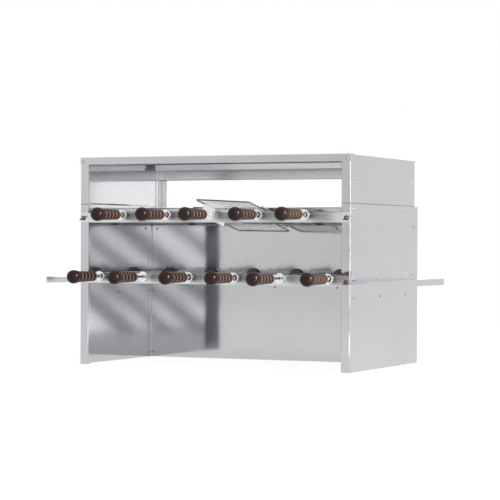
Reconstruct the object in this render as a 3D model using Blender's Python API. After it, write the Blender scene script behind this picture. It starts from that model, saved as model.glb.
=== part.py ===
"""Rotisserie oven with eleven motor-driven skewer places, as an assembly of separate solids.

Run with: blender --background --python part.py
Units are metres.  +Z is up and the open front faces -Y.  Shapes are drawn in cabinet
coordinates: x = 0 is the middle, y = 0 the face of the front flanges, z = 0 the floor.
An empty then moves the cabinet back, so that the origin is under the middle of the whole oven.
"""
import math

import bmesh
import bpy
from mathutils import Matrix, Vector
from mathutils.geometry import convex_hull_2d

# Cabinet
HALF_WIDTH = 0.430
HEIGHT = 0.611
SEAM_Z = 0.472            # where the upper module stands on the lower one
LOWER_DEPTH = 0.548
UPPER_DEPTH = 0.517
SHEET = 0.0015
BEND_RADIUS = 0.0012      # inside radius of the folds
BEND_STEPS = 3
SMOOTH_ANGLE = math.radians(35)
GAP = 0.0003              # air between touching pieces
CLEARANCE = 0.002         # air between pieces that pass each other
SEAM_GAP = 0.0016         # shadow gap between the two modules
CUT_MARGIN = 0.002        # how far a cutter reaches past what it cuts
WELD = 0.001              # how far joined shapes reach into each other
EDGE_STEP = 0.0002        # offset between joined faces that would otherwise coincide
FRONT_FLANGE = 0.0265
FLANGE_LIP = 0.010
REAR_HEM = 0.015
SKIRT_DROP = 0.025        # how far the upper side panel reaches down inside the lower one
SKIRT_EDGE = 0.0009       # from the outside of the cabinet to the middle of the skirt's upper edge
JOGGLE_RISE = 0.004       # height over which a sheet steps sideways

# Upper module
HEADER_HEIGHT = 0.021
HEADER_RETURN = 0.030
ROOF_TOP = HEIGHT - SHEET - 2 * GAP
ROOF_FLANGE = 0.015
BAFFLE_Y = 0.438
BAFFLE_BOTTOM = 0.588
BAFFLE_END = 0.0205       # distance from the baffle's end to the outside of the cabinet
BAFFLE_RETURN = 0.020
BEAM_BOTTOM = 0.557
BEAM_DEPTH = 0.0165
POST_SIDE_LEG = 0.040
POST_REAR_LEG = 0.018

# Rear walls and drive box
REAR_WALL_Y = 0.450
WALL_FLANGE = 0.020
LAP_BOTTOM = 0.396
LAP_TOP = 0.413
REAR_WALL_TOP = 0.470
COVER_FLOOR = 0.002

# Skewer places
PITCH = 0.1455
LOWER_AXIS_Z = 0.261
UPPER_AXIS_Z = 0.441
LOWER_HANDLE_FRONTS = (-0.173, -0.195, -0.163, -0.166, -0.204, -0.166)
UPPER_HANDLE_FRONTS = (-0.165, -0.168, -0.186, -0.167, -0.176)
BASKET_PLACE = 2          # index of the basket in the upper row

# Front rails
LOWER_RAIL = (0.241, 0.271)
UPPER_RAIL = (0.419, 0.447)
RAIL_FLANGE = 0.015
NOTCH_RADIUS = 0.0034
NOTCH_MOUTH = 0.017
NOTCH_ARC_STEPS = 4

# Skewers
RING_POINTS = 12
NECK_RADIUS = 0.003
FRONT_DISC = (0.0150, -0.0065, -0.0045)   # radius, then front and rear face of the disc before the rail
REAR_DISC = (0.0130, 0.0035, 0.0055)      # the same for the disc behind the rail
BLADE_HEIGHT = 0.024
BLADE_THICKNESS = 0.003
BLADE_START_Y = 0.034
BLADE_END_Y = 0.385
BLADE_SHOULDER = 0.020    # length of the taper before the blade
DRIVE_TIP = 0.008
DRIVE_TIP_Y = 0.400       # where a blade has narrowed to the square drive tip
TIP_END_Y = 0.462
TIP_POINT = 0.006         # length of the blunt point
TIP_END = 0.0032          # width of its end

# Handles
HANDLE_LENGTH = 0.140
HANDLE_BORE = 0.0034
HANDLE_BORE_DEPTH = 0.030
HEAD_RADIUS = 0.0197
GRIP_RADIUS = 0.0170
TAIL_RADIUS = 0.0141
TAIL_END_RADIUS = 0.0108
RIDGE_COUNT = 5
RIDGE_DEPTH = 0.0022
RIDGES_START = 0.034      # distance from the front of the handle to its first and past its last ridge
RIDGES_END = 0.138
HEAD_SECTIONS = ((0.026, 1.0), (0.008, 0.93), (0.0, 0.45))   # distance from the front, share of the radius

# Drive sockets, bearing plate, chain and motor
SOCKET_POINTS = 16
SOCKET_FRONT_Y = 0.440
SOCKET_DISC = 0.0215
SOCKET_DISC_THICKNESS = 0.007
SOCKET_BORE = 0.0087
BORE_PLAY = 0.003         # air behind the tip in the bore
JOURNAL_RADIUS = 0.011
WALL_HOLE = 0.0135
BEARING_BORE = 0.01175
BEARING_PLATE = (0.800, 0.006, 0.246)
BEARING_PLATE_BOTTOM = 0.218
SPROCKET_Y = 0.4695
SPROCKET_WIDTH = 0.005
SPROCKET_TIP = 0.0190
SPROCKET_ROOT = 0.0168
CHAIN_INNER = 0.0198
CHAIN_THICKNESS = 0.004
CHAIN_ARC_POINTS = 24
MOTOR_X = 0.345
MOTOR_Z = 0.352
MOTOR_SIZE = (0.080, 0.056, 0.080)
MOTOR_FRONT_Y = 0.483
MOTOR_SHAFT = 0.005
MOTOR_SHAFT_REACH = 0.006         # how far the output shaft starts inside the motor
MOTOR_PLATE_THICKNESS = 0.0025
MOTOR_PLATE_Y = (0.004, 0.048)    # from the front of the motor
MOTOR_PLATE_Z = (-0.097, 0.073)   # from the middle of the motor
MOTOR_WEB_Y = (0.006, 0.009)      # from the front of the motor
MOTOR_WEB_HALF = 0.032

# Side shelves
SHELF_SHEET = 0.002
SHELF_REACH = 0.120
SHELF_TOP = 0.258
SHELF_FLANGE_TOP = 0.283
SHELF_LIP_BOTTOM = 0.239
SHELF_START = 0.006
SHELF_END = 0.445
SHELF_CHAMFER = 0.005

# Basket
BASKET_TILT = math.radians(24.5)
BASKET_HALF_WIDTH = 0.082
BASKET_FRONT = 0.0345
BASKET_REAR = 0.410
BASKET_TIP_Y = 0.425      # where the square drive tip starts
GRID_OFFSET = 0.012       # from the shaft's axis to the middle of each grid
GRID_WIRE = 0.003
GRID_CELLS = (4, 9)
BRACKET_HALF_WIDTH = 0.040
BRACKET_HEIGHT = 0.035
BRACKET_TAB = 0.015
BRACKET_FRONT_Y = 0.018
BRACKET_REAR_Y = 0.4135

# Wing bolts
WING_BOLT_INSET = 0.011
WING_BOLT_HEIGHTS = {"lower": 0.252, "upper": 0.432}
WING_POINTS = 10
WING_SHANK = 0.0024
WING_SHANK_END = 0.009
WING_HOLE = 0.0030
WING_WASHER = (0.0065, 0.0016)    # radius, and how far its face stands off the rail
WING_HUB = (0.0045, 0.0036)       # radius at the washer and at the end
WING_HUB_END = 0.0075
WING_PLATE = 0.0018
WING_HALF = ((0.0065, -0.013), (0.0095, -0.012), (0.0030, -0.0022))   # inner tip, outer tip and foot
WING_NOTCH = 0.0062       # depth of the notch between the two wings
WING_ANGLE = math.radians(-40)

# Power inlet and switch on the back of the drive box
INLET_X = -0.300
INLET_Z = 0.120
INLET_FLANGE = (0.031, 0.060)
INLET_BODY = (0.027, 0.054)
INLET_DEPTH = 0.024
INLET_FLANGE_THICKNESS = 0.0014
SWITCH_OFFSET = 0.0145    # from the middle of the inlet up to the switch, and down to the socket
SOCKET_CAVITY = (0.022, 0.016)
SOCKET_CAVITY_DEPTH = 0.018
PIN_PLACES = ((-0.007, -0.002), (0.0, 0.003), (0.007, -0.002))
PIN_SIZE = (0.002, 0.004)
PIN_TIP_DEPTH = 0.010
SWITCH_WELL = (0.013, 0.022)
SWITCH_WELL_DEPTH = 0.012
ROCKER = (0.012, 0.019)
ROCKER_DEPTH = 0.006
ROCKER_RISE = 0.0006      # how far the ends of the rocker's face rise
ROCKER_DIP = 0.0010       # how deep the middle of its face lies
ROCKER_PIVOT_DEPTH = 0.0035
ROCKER_TILT = math.radians(8)

# The whole oven reaches from the longest handle to the hems of the side panels.
ORIGIN_SHIFT = -(min(LOWER_HANDLE_FRONTS) + LOWER_DEPTH) / 2

INNER_FACE = HALF_WIDTH - SHEET - GAP          # outside of what lies against a side panel
CLEAR_OF_FLANGES = INNER_FACE - SHEET - GAP    # outside of what lies between those pieces


# ---------------------------------------------------------------- materials

def make_material(name, colour, roughness, metallic):
    material = bpy.data.materials.new(name)
    material.use_nodes = True
    shader = material.node_tree.nodes["Principled BSDF"]
    shader.inputs["Base Color"].default_value = (*colour, 1.0)
    shader.inputs["Roughness"].default_value = roughness
    shader.inputs["Metallic"].default_value = metallic
    material.diffuse_color = (*colour, 1.0)
    return material


def make_materials():
    return {
        "steel": make_material("brushed_stainless", (0.62, 0.63, 0.64), 0.34, 1.0),
        "bright": make_material("bright_steel", (0.76, 0.77, 0.78), 0.18, 1.0),
        "dark": make_material("dark_steel", (0.10, 0.10, 0.11), 0.45, 0.9),
        "wood": make_material("turned_wood", (0.13, 0.045, 0.025), 0.35, 0.0),
        "zinc": make_material("zinc_plated", (0.55, 0.56, 0.58), 0.30, 1.0),
        "motor": make_material("cast_aluminium", (0.45, 0.46, 0.47), 0.50, 1.0),
        "plastic": make_material("black_plastic", (0.02, 0.02, 0.022), 0.45, 0.0),
    }


# ---------------------------------------------------------------- shape helpers

def add_object(name, bm, material, parent):
    """Turns a bmesh into a named object with outward normals and smooth round faces."""
    bmesh.ops.recalc_face_normals(bm, faces=bm.faces)
    mesh = bpy.data.meshes.new(name)
    bm.to_mesh(mesh)
    bm.free()
    mesh.materials.append(material)
    mesh.shade_smooth()
    mesh.set_sharp_from_angle(angle=SMOOTH_ANGLE)
    obj = bpy.data.objects.new(name, mesh)
    bpy.context.collection.objects.link(obj)
    obj.parent = parent
    return obj


def add_cutter(name, bm, parent):
    """A solid that only cuts others: it is drawn as wire and isn't part of the oven."""
    obj = add_object(name, bm, bpy.data.materials["brushed_stainless"], parent)
    obj.display_type = 'WIRE'
    obj.hide_render = True
    return obj


def combine(obj, other, operation):
    modifier = obj.modifiers.new(operation.lower(), 'BOOLEAN')
    modifier.operation = operation
    modifier.solver = 'EXACT'
    modifier.object = other


def cut(obj, cutter):
    combine(obj, cutter, 'DIFFERENCE')


def join(obj, name, bm, parent):
    """Joins another solid to obj with a Boolean union, so the two become one body."""
    combine(obj, add_cutter(name, bm, parent), 'UNION')


def add_box(bm, low, high):
    size = Vector(high) - Vector(low)
    centre = (Vector(high) + Vector(low)) / 2
    matrix = Matrix.Translation(centre) @ Matrix.Diagonal((*size, 1.0))
    bmesh.ops.create_cube(bm, size=1.0, matrix=matrix)


def box_mesh(*boxes):
    bm = bmesh.new()
    for low, high in boxes:
        add_box(bm, low, high)
    return bm


def to_space(axis, first, second, along):
    """A point of an outline, with its place along the extruded axis, as x, y, z."""
    if axis == 'X':
        return Vector((along, first, second))
    if axis == 'Y':
        return Vector((first, along, second))
    return Vector((first, second, along))


def strip_stations(path, thickness):
    """Points on the middle of a folded strip, each with its normal; folds become arcs."""
    points = [Vector(p) for p in path]
    radius = BEND_RADIUS + thickness / 2
    directions = [(b - a).normalized() for a, b in zip(points, points[1:])]
    stations = [(points[0], directions[0].orthogonal())]
    for corner, before, after in zip(points[1:], directions, directions[1:]):
        turn = before.angle_signed(after)
        setback = radius * math.tan(abs(turn) / 2)
        side = -1 if turn > 0 else 1
        start_normal = before.orthogonal()
        centre = corner - before * setback + start_normal * radius * side
        for step in range(BEND_STEPS + 1):
            normal = start_normal.copy()
            normal.rotate(Matrix.Rotation(-turn * step / BEND_STEPS, 2))
            stations.append((centre - normal * radius * side, normal))
    stations.append((points[-1], directions[-1].orthogonal()))
    return stations


def folded_strip(path, axis, low, high, thickness=SHEET):
    """Sheet metal folded along a path in the plane across axis, from low to high along it."""
    bm = bmesh.new()
    rows = []
    for point, normal in strip_stations(path, thickness):
        corners = []
        for along in (low, high):
            for side in (thickness / 2, -thickness / 2):
                flat = point + normal * side
                corners.append(bm.verts.new(to_space(axis, flat.x, flat.y, along)))
        rows.append(corners)
    for (a, b, c, d), (e, f, g, h) in zip(rows, rows[1:]):
        for quad in ((a, e, f, b), (c, d, h, g), (a, c, g, e), (b, f, h, d)):
            bm.faces.new(quad)
    for a, b, c, d in (rows[0], rows[-1]):
        bm.faces.new((a, b, d, c))
    return bm


def prism(outline, axis, low, high):
    bm = bmesh.new()
    ends = []
    for along in (low, high):
        ends.append([bm.verts.new(to_space(axis, p[0], p[1], along)) for p in outline])
        bm.faces.new(ends[-1])
    for i in range(len(outline)):
        bm.faces.new((ends[0][i - 1], ends[0][i], ends[1][i], ends[1][i - 1]))
    return bm


def circle_ring(radius, y, count):
    """A round cross-section about the Y axis."""
    step = 2 * math.pi / count
    return [Vector((radius * math.cos(i * step), y, radius * math.sin(i * step))) for i in range(count)]


def rectangle_ring(half_width, half_height, y, count):
    """A rectangular cross-section with as many points as a round one, so the two can be joined."""
    ring = []
    for point in circle_ring(1.0, y, count):
        reach = max(abs(point.x), abs(point.z))
        ring.append(Vector((point.x / reach * half_width, y, point.z / reach * half_height)))
    return ring


def toothed_ring(tip, root, y, count):
    ring = circle_ring(1.0, y, count)
    for index, point in enumerate(ring):
        radius = tip if index % 2 else root
        ring[index] = Vector((point.x * radius, y, point.z * radius))
    return ring


def loft(rings, centre=(0.0, 0.0)):
    """Skins cross-sections one after another; the first and the last are capped."""
    bm = bmesh.new()
    offset = Vector((centre[0], 0.0, centre[1]))
    rows = [[bm.verts.new(point + offset) for point in ring] for ring in rings]
    bm.faces.new(rows[0])
    bm.faces.new(rows[-1])
    for row, following in zip(rows, rows[1:]):
        for i in range(len(row)):
            bm.faces.new((row[i - 1], row[i], following[i], following[i - 1]))
    return bm


def merge(bm, other):
    """Adds one bmesh to another as a separate solid."""
    mesh = bpy.data.meshes.new("merge")
    other.to_mesh(mesh)
    other.free()
    bm.from_mesh(mesh)
    bpy.data.meshes.remove(mesh)


# ---------------------------------------------------------------- skewer places

def skewer_places():
    """Every skewer place, left to right and lower row first: name, x, z, front of its handle."""
    places = []
    rows = (("lower", LOWER_AXIS_Z, LOWER_HANDLE_FRONTS), ("upper", UPPER_AXIS_Z, UPPER_HANDLE_FRONTS))
    for row, axis_z, fronts in rows:
        for index, front in enumerate(fronts):
            x = (index - (len(fronts) - 1) / 2) * PITCH
            is_basket = row == "upper" and index == BASKET_PLACE
            name = "basket" if is_basket else f"{row}_{index + 1}"
            places.append((name, x, axis_z, front))
    return places


# ---------------------------------------------------------------- wing bolts

def make_wing_bolt(name, x, z, materials, parent):
    """Wing bolt with a washer face; it clamps a rail's end to the flange behind it."""
    place = bpy.data.objects.new(f"{name}_place", None)
    place.location = (x, -GAP - SHEET, z)
    place.rotation_euler = (0.0, WING_ANGLE, 0.0)
    place.parent = parent
    bpy.context.collection.objects.link(place)
    washer, face = WING_WASHER
    sections = [(WING_SHANK_END, WING_SHANK), (-GAP, WING_SHANK), (-GAP, washer), (-face, washer),
                (-face, WING_HUB[0]), (-WING_HUB_END, WING_HUB[1])]
    bolt = loft([circle_ring(radius, y, WING_POINTS) for y, radius in sections])
    obj = add_object(name, bolt, materials["zinc"], place)
    other_half = [(-x, y) for x, y in reversed(WING_HALF)]
    outline = [(0.0, -WING_NOTCH), *WING_HALF, *other_half]
    join(obj, f"{name}_wings", prism(outline, 'Z', -WING_PLATE / 2, WING_PLATE / 2), place)
    return obj


def make_wing_bolts(materials, parent):
    """The four wing bolts; returns the cutter for the holes they pass through."""
    holes = bmesh.new()
    for side, x in (("left", WING_BOLT_INSET - HALF_WIDTH), ("right", HALF_WIDTH - WING_BOLT_INSET)):
        for row, z in WING_BOLT_HEIGHTS.items():
            make_wing_bolt(f"wing_bolt_{row}_{side}", x, z, materials, parent)
            ends = (-GAP - SHEET - CUT_MARGIN, SHEET + CUT_MARGIN)
            merge(holes, loft([circle_ring(WING_HOLE, y, WING_POINTS) for y in ends], (x, z)))
    return add_cutter("wing_bolt_holes", holes, parent)


# ---------------------------------------------------------------- sheet-metal body

def make_side_panel(name, side, materials, parent):
    """Side of the lower module: front flange with a lip, wall, and a hem at the rear."""
    wall_x = side * (HALF_WIDTH - SHEET / 2)
    flange_x = side * (HALF_WIDTH - FRONT_FLANGE)
    rear_y = LOWER_DEPTH - SHEET / 2
    path = [(flange_x, FLANGE_LIP), (flange_x, SHEET / 2), (wall_x, SHEET / 2), (wall_x, rear_y),
            (side * (HALF_WIDTH - REAR_HEM), rear_y)]
    bm = folded_strip(path, 'Z', 0.0, SEAM_Z)
    return add_object(name, bm, materials["steel"], parent)


def make_upper_panel(name, side, materials, parent):
    """Side of the upper module; a joggled skirt reaches down inside the lower side panel."""
    wall_x = side * (HALF_WIDTH - SHEET / 2)
    flange_x = side * (HALF_WIDTH - FRONT_FLANGE)
    path = [(flange_x, FLANGE_LIP), (flange_x, SHEET / 2), (wall_x, SHEET / 2), (wall_x, UPPER_DEPTH)]
    bm = folded_strip(path, 'Z', SEAM_Z + SEAM_GAP, ROOF_TOP)
    obj = add_object(name, bm, materials["steel"], parent)
    skirt_x = side * (INNER_FACE - SHEET / 2)
    joggle_z = SEAM_Z + SHEET
    skirt = [(skirt_x, SEAM_Z - SKIRT_DROP), (skirt_x, joggle_z),
             (side * (HALF_WIDTH - SKIRT_EDGE), joggle_z + JOGGLE_RISE)]
    skirt_end = REAR_WALL_Y - WALL_FLANGE - CLEARANCE
    join(obj, f"{name}_skirt", folded_strip(skirt, 'Y', FLANGE_LIP + CLEARANCE, skirt_end), parent)
    return obj


def make_header(materials, parent):
    face_y = -GAP - SHEET / 2
    top_z = HEIGHT - SHEET / 2
    path = [(face_y, HEIGHT - HEADER_HEIGHT), (face_y, top_z), (HEADER_RETURN, top_z)]
    bm = folded_strip(path, 'X', -HALF_WIDTH, HALF_WIDTH)
    return add_object("front_header", bm, materials["steel"], parent)


def make_roof(materials, parent):
    x = INNER_FACE - SHEET / 2
    top_z = ROOF_TOP - SHEET / 2
    path = [(-x, ROOF_TOP - ROOF_FLANGE), (-x, top_z), (x, top_z), (x, ROOF_TOP - ROOF_FLANGE)]
    bm = folded_strip(path, 'Y', FLANGE_LIP + 2 * GAP, UPPER_DEPTH - SHEET - 2 * GAP)
    return add_object("roof_panel", bm, materials["steel"], parent)


def make_air_baffle(materials, parent):
    """Strip that hangs from the roof in front of the rear beam."""
    face_y = BAFFLE_Y + SHEET / 2
    top_z = ROOF_TOP - SHEET - GAP - SHEET / 2
    path = [(face_y, BAFFLE_BOTTOM), (face_y, top_z), (face_y + BAFFLE_RETURN, top_z)]
    x = HALF_WIDTH - BAFFLE_END
    return add_object("air_baffle", folded_strip(path, 'X', -x, x), materials["steel"], parent)


def make_rear_frame(materials, parent):
    """Frame of the rear window: a trough-shaped top beam welded between two corner angles."""
    rear_y = UPPER_DEPTH - SHEET - GAP - SHEET / 2
    front_y = rear_y - BEAM_DEPTH + SHEET
    top_z = ROOF_TOP - SHEET - GAP
    bottom_z = BEAM_BOTTOM + SHEET / 2
    path = [(front_y, top_z), (front_y, bottom_z), (rear_y, bottom_z), (rear_y, top_z)]
    half = CLEAR_OF_FLANGES - BEND_RADIUS
    bm = folded_strip(path, 'X', -half, half)
    obj = add_object("rear_window_frame", bm, materials["steel"], parent)
    post_top = ROOF_TOP - ROOF_FLANGE - GAP
    for side in (-1, 1):
        wall_x = side * (INNER_FACE - SHEET / 2)
        angle = [(wall_x, UPPER_DEPTH - POST_SIDE_LEG), (wall_x, UPPER_DEPTH - SHEET / 2),
                 (wall_x - side * POST_REAR_LEG, UPPER_DEPTH - SHEET / 2)]
        join(obj, f"corner_angle_{side}", folded_strip(angle, 'Z', SEAM_Z + GAP, post_top), parent)
        ends = sorted((side * (half - WELD), wall_x))
        cleat = box_mesh(((ends[0], front_y - SHEET, BEAM_BOTTOM + WELD),
                          (ends[1], rear_y, post_top - CLEARANCE)))
        join(obj, f"beam_cleat_{side}", cleat, parent)
    return obj


def socket_holes(row_z, parent):
    """Cutter for the holes that one row of sockets passes through."""
    holes = bmesh.new()
    ends = (REAR_WALL_Y - SHEET - CUT_MARGIN, REAR_WALL_Y + SHEET + CUT_MARGIN)
    for _, x, z, _ in skewer_places():
        if z == row_z:
            merge(holes, loft([circle_ring(WALL_HOLE, y, RING_POINTS) for y in ends], (x, z)))
    return add_cutter(f"socket_holes_{round(row_z * 1000)}", holes, parent)


def make_lower_rear_wall(materials, parent):
    """Rear wall of the lower module, with side flanges turned forward into the corners."""
    x = INNER_FACE - SHEET / 2
    face_y = REAR_WALL_Y + SHEET / 2
    flange_y = REAR_WALL_Y - WALL_FLANGE
    path = [(-x, flange_y), (-x, face_y), (x, face_y), (x, flange_y)]
    obj = add_object("lower_rear_wall", folded_strip(path, 'Z', 0.0, LAP_TOP), materials["steel"], parent)
    upright_top = REAR_WALL_TOP - SHEET - GAP
    uprights = []
    for middle in (-x, x):
        low = (middle - SHEET / 2, flange_y, LAP_BOTTOM)
        high = (middle + SHEET / 2, REAR_WALL_Y - CLEARANCE, upright_top)
        uprights.append((low, high))
    join(obj, "corner_uprights", box_mesh(*uprights), parent)
    cut(obj, socket_holes(LOWER_AXIS_Z, parent))
    return obj


def make_upper_rear_wall(materials, parent):
    """Strip above the lap; it is joggled over the lower wall and folded back over the drive box."""
    lap_y = REAR_WALL_Y - GAP - SHEET / 2
    wall_y = REAR_WALL_Y + SHEET / 2
    top_z = REAR_WALL_TOP - SHEET / 2
    joggle_z = LAP_TOP + SHEET
    path = [(lap_y, LAP_BOTTOM), (lap_y, joggle_z), (wall_y, joggle_z + JOGGLE_RISE), (wall_y, top_z),
            (LOWER_DEPTH - SHEET - 2 * GAP, top_z)]
    half = CLEAR_OF_FLANGES - BEND_RADIUS
    bm = folded_strip(path, 'X', -half, half)
    obj = add_object("upper_rear_wall", bm, materials["steel"], parent)
    cut(obj, socket_holes(UPPER_AXIS_Z, parent))
    return obj


def make_drive_box_cover(materials, parent):
    """Shell over the chain and the motor, open to the front."""
    front_y = REAR_WALL_Y + 2 * SHEET
    rear_y = LOWER_DEPTH - SHEET - GAP
    top_z = REAR_WALL_TOP - SHEET - GAP
    half = INNER_FACE - BEND_RADIUS
    outer = box_mesh(((-half, front_y, COVER_FLOOR), (half, rear_y, top_z)))
    obj = add_object("drive_box_cover", outer, materials["steel"], parent)
    inner = box_mesh(((SHEET - half, front_y - CUT_MARGIN, COVER_FLOOR + SHEET),
                      (half - SHEET, rear_y - SHEET, top_z - SHEET)))
    cut(obj, add_cutter("drive_box_space", inner, parent))
    half_x, half_z = INLET_BODY[0] / 2 + GAP, INLET_BODY[1] / 2 + GAP
    hole = box_mesh(((INLET_X - half_x, rear_y - SHEET - CUT_MARGIN, INLET_Z - half_z),
                     (INLET_X + half_x, rear_y + CUT_MARGIN, INLET_Z + half_z)))
    cut(obj, add_cutter("inlet_hole", hole, parent))
    return obj


def notch_outline(x, axis_z, top_z):
    """An open notch from right to left: slanted mouth, then a round seat under the skewer's neck."""
    points = [(x + NOTCH_MOUTH / 2, top_z)]
    for step in range(NOTCH_ARC_STEPS + 1):
        angle = -math.pi * step / NOTCH_ARC_STEPS
        points.append((x + NOTCH_RADIUS * math.cos(angle), axis_z + NOTCH_RADIUS * math.sin(angle)))
    points.append((x - NOTCH_MOUTH / 2, top_z))
    return points


def make_rail(name, limits, axis_z, materials, parent):
    bottom, top = limits
    end_x = HALF_WIDTH - GAP
    outline = [(-end_x, bottom), (end_x, bottom), (end_x, top)]
    for _, x, z, _ in reversed(skewer_places()):
        if z == axis_z:
            outline += notch_outline(x, axis_z, top)
    outline.append((-end_x, top))
    obj = add_object(name, prism(outline, 'Y', -GAP - SHEET, -GAP), materials["bright"], parent)
    flange_x = HALF_WIDTH - FRONT_FLANGE - SHEET - GAP
    flange = box_mesh(((-flange_x, -GAP - WELD, bottom + EDGE_STEP),
                       (flange_x, RAIL_FLANGE - SHEET, bottom + EDGE_STEP + SHEET)))
    join(obj, f"{name}_flange", flange, parent)
    return obj


def make_side_shelf(name, side, materials, parent):
    """Ledge on the outside of a side panel: flange, flat shelf and a down-turned lip."""
    flange_x = side * (HALF_WIDTH + GAP + SHELF_SHEET / 2)
    lip_x = side * (HALF_WIDTH + SHELF_REACH - SHELF_SHEET / 2)
    shelf_z = SHELF_TOP - SHELF_SHEET / 2
    path = [(flange_x, SHELF_FLANGE_TOP), (flange_x, shelf_z), (lip_x, shelf_z), (lip_x, SHELF_LIP_BOTTOM)]
    bm = folded_strip(path, 'Y', SHELF_START, SHELF_END, SHELF_SHEET)
    obj = add_object(name, bm, materials["steel"], parent)
    chamfer_y, chamfer_z = SHELF_START + SHELF_CHAMFER, SHELF_LIP_BOTTOM + SHELF_CHAMFER
    outline = [(SHELF_START - CUT_MARGIN, SHELF_LIP_BOTTOM - CUT_MARGIN),
               (chamfer_y, SHELF_LIP_BOTTOM - CUT_MARGIN), (chamfer_y, SHELF_LIP_BOTTOM),
               (SHELF_START, chamfer_z), (SHELF_START - CUT_MARGIN, chamfer_z)]
    reach = SHELF_SHEET / 2 + CUT_MARGIN
    cut(obj, add_cutter(f"{name}_chamfer", prism(outline, 'X', lip_x - reach, lip_x + reach), parent))
    return obj


def make_body(materials, parent, wing_holes):
    """All sheet-metal pieces; the wing bolts' holes go through the rails and the flanges behind them."""
    for name, side in (("left", -1), ("right", 1)):
        cut(make_side_panel(f"{name}_side_panel", side, materials, parent), wing_holes)
        make_upper_panel(f"{name}_upper_panel", side, materials, parent)
        make_side_shelf(f"{name}_side_shelf", side, materials, parent)
    cut(make_rail("lower_front_rail", LOWER_RAIL, LOWER_AXIS_Z, materials, parent), wing_holes)
    cut(make_rail("upper_front_rail", UPPER_RAIL, UPPER_AXIS_Z, materials, parent), wing_holes)
    make_header(materials, parent)
    make_roof(materials, parent)
    make_air_baffle(materials, parent)
    make_rear_frame(materials, parent)
    make_lower_rear_wall(materials, parent)
    make_upper_rear_wall(materials, parent)
    make_drive_box_cover(materials, parent)


# ---------------------------------------------------------------- skewers and handles

def spin_centre(name, x, z, parent):
    """Empty on the axis that a skewer, its socket and its handle turn about."""
    centre = bpy.data.objects.new(f"{name}_axis", None)
    centre.location = (x, 0.0, z)
    centre.parent = parent
    bpy.context.collection.objects.link(centre)
    return centre


def neck_rings(handle_front):
    """Round tang inside the handle, and the spool that rides in the notch between its two discs."""
    rings = [circle_ring(NECK_RADIUS, handle_front + HANDLE_LENGTH - HANDLE_BORE_DEPTH + GAP, RING_POINTS)]
    for radius, front_y, rear_y in (FRONT_DISC, REAR_DISC):
        sections = [(front_y, NECK_RADIUS), (front_y, radius), (rear_y, radius), (rear_y, NECK_RADIUS)]
        rings += [circle_ring(size, y, RING_POINTS) for y, size in sections]
    return rings


def drive_tip_rings(start_y):
    """Square end that enters the drive socket, with a blunt point."""
    half = DRIVE_TIP / 2
    sections = [(start_y, half), (TIP_END_Y - TIP_POINT, half), (TIP_END_Y, TIP_END / 2)]
    return [rectangle_ring(size, size, y, RING_POINTS) for y, size in sections]


def make_skewer(name, handle_front, materials, centre):
    """Upright flat blade with a round neck in front and a square drive tip behind."""
    half_thickness, half_height = BLADE_THICKNESS / 2, BLADE_HEIGHT / 2
    rings = neck_rings(handle_front)
    rings.append(circle_ring(NECK_RADIUS, BLADE_START_Y - BLADE_SHOULDER, RING_POINTS))
    for y in (BLADE_START_Y, BLADE_END_Y):
        rings.append(rectangle_ring(half_thickness, half_height, y, RING_POINTS))
    rings += drive_tip_rings(DRIVE_TIP_Y)
    return add_object(f"skewer_{name}", loft(rings), materials["bright"], centre)


def handle_profile():
    """Outside of the turned handle from its rear face to its head: (distance from the front, radius)."""
    profile = [(HANDLE_LENGTH, TAIL_END_RADIUS)]
    pitch = (RIDGES_END - RIDGES_START) / RIDGE_COUNT
    for ridge in range(RIDGE_COUNT):
        crest = TAIL_RADIUS + (GRIP_RADIUS - TAIL_RADIUS) * ridge / (RIDGE_COUNT - 1)
        middle = RIDGES_END - (ridge + 0.5) * pitch
        profile += [(middle, crest), (middle - pitch / 2, crest - RIDGE_DEPTH)]
    profile += [(distance, HEAD_RADIUS * share) for distance, share in HEAD_SECTIONS]
    return profile


def make_handle(name, handle_front, materials, centre):
    """Turned wooden handle with a blind bore for the tang."""
    bore_y = handle_front + HANDLE_LENGTH - HANDLE_BORE_DEPTH
    rings = [circle_ring(HANDLE_BORE, bore_y, RING_POINTS),
             circle_ring(HANDLE_BORE, handle_front + HANDLE_LENGTH, RING_POINTS)]
    rings += [circle_ring(radius, handle_front + y, RING_POINTS) for y, radius in handle_profile()]
    return add_object(f"handle_{name}", loft(rings), materials["wood"], centre)


# ---------------------------------------------------------------- basket

def bracket_mesh(face_y, tab_y):
    """Front or rear bracket of the basket: an upright plate with a tab folded at each end."""
    x = BRACKET_HALF_WIDTH - SHEET / 2
    path = [(-x, tab_y), (-x, face_y), (x, face_y), (x, tab_y)]
    return folded_strip(path, 'Z', -BRACKET_HEIGHT / 2, BRACKET_HEIGHT / 2)


def make_basket_frame(handle_front, materials, centre):
    """Shaft with its collar, the two brackets and the square drive tip, welded together."""
    rings = neck_rings(handle_front)
    rings.append(circle_ring(NECK_RADIUS, BASKET_REAR, RING_POINTS))
    rings += drive_tip_rings(BASKET_TIP_Y)
    obj = add_object("basket_frame", loft(rings), materials["bright"], centre)
    join(obj, "front_bracket", bracket_mesh(BRACKET_FRONT_Y, BRACKET_FRONT_Y + BRACKET_TAB), centre)
    join(obj, "rear_bracket", bracket_mesh(BRACKET_REAR_Y, BRACKET_REAR_Y + BRACKET_TAB), centre)
    return obj


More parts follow.
